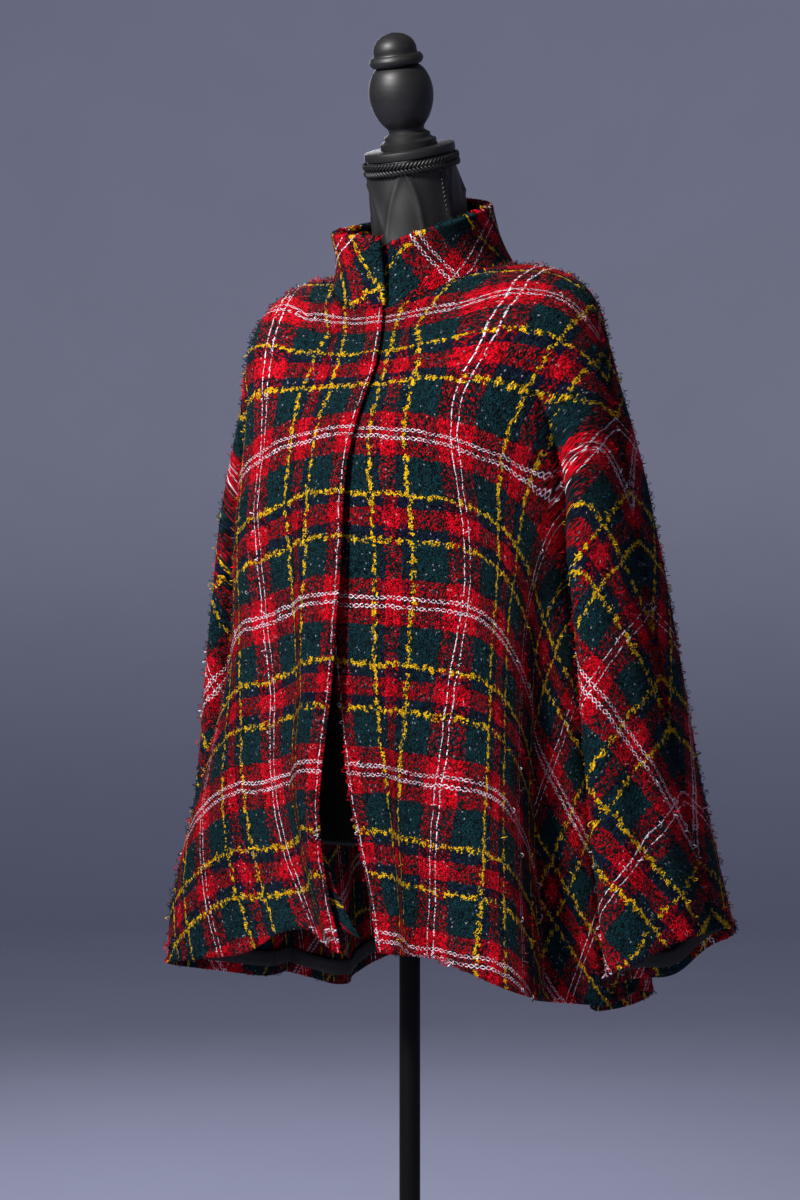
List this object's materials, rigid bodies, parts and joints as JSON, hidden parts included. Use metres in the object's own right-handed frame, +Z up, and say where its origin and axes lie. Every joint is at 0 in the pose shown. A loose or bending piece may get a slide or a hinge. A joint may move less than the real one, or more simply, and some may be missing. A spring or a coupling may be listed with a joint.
{
  "type": "tweed cape jacket on a dress form",
  "caption": "Loose tartan tweed cape jacket with wide cut-in-one sleeves and a stand collar, worn on a black limbless dress form that stands on a pole with a round base",
  "frame": {"origin": "middle of the round base, on the surface that it stands on", "axes": "+Z is up along the pole, the wearer's front faces -Y, the wearer's left is at +X"},
  "size_m": [0.5934, 0.39, 1.6209],
  "materials": {
    "tweed": "red, bottle green, navy, yellow and white tartan boucle",
    "tape": "black woven tape",
    "jersey": "black jersey drawn over the form",
    "cord": "black braid",
    "painted_wood": "turned wood in black satin paint",
    "painted_steel": "black powder coat"
  },
  "bodies": {
    "root": {"front_right": "tweed", "front_left": "tweed", "back_left": "tweed", "back_right": "tweed", "collar": "tweed", "placket_facing": "tweed", "hem_tape_left": "tape", "hem_tape_right": "tape", "hem_tape_back": "tape", "cuff_tape_left": "tape", "cuff_tape_right": "tape", "form_torso": "jersey", "neck_cord": "cord", "neck_cap": "painted_wood", "neck_finial": "painted_wood", "stand_pole": "painted_steel", "stand_hub": "painted_steel", "stand_base": "painted_steel"}
  },
  "joints": []
}
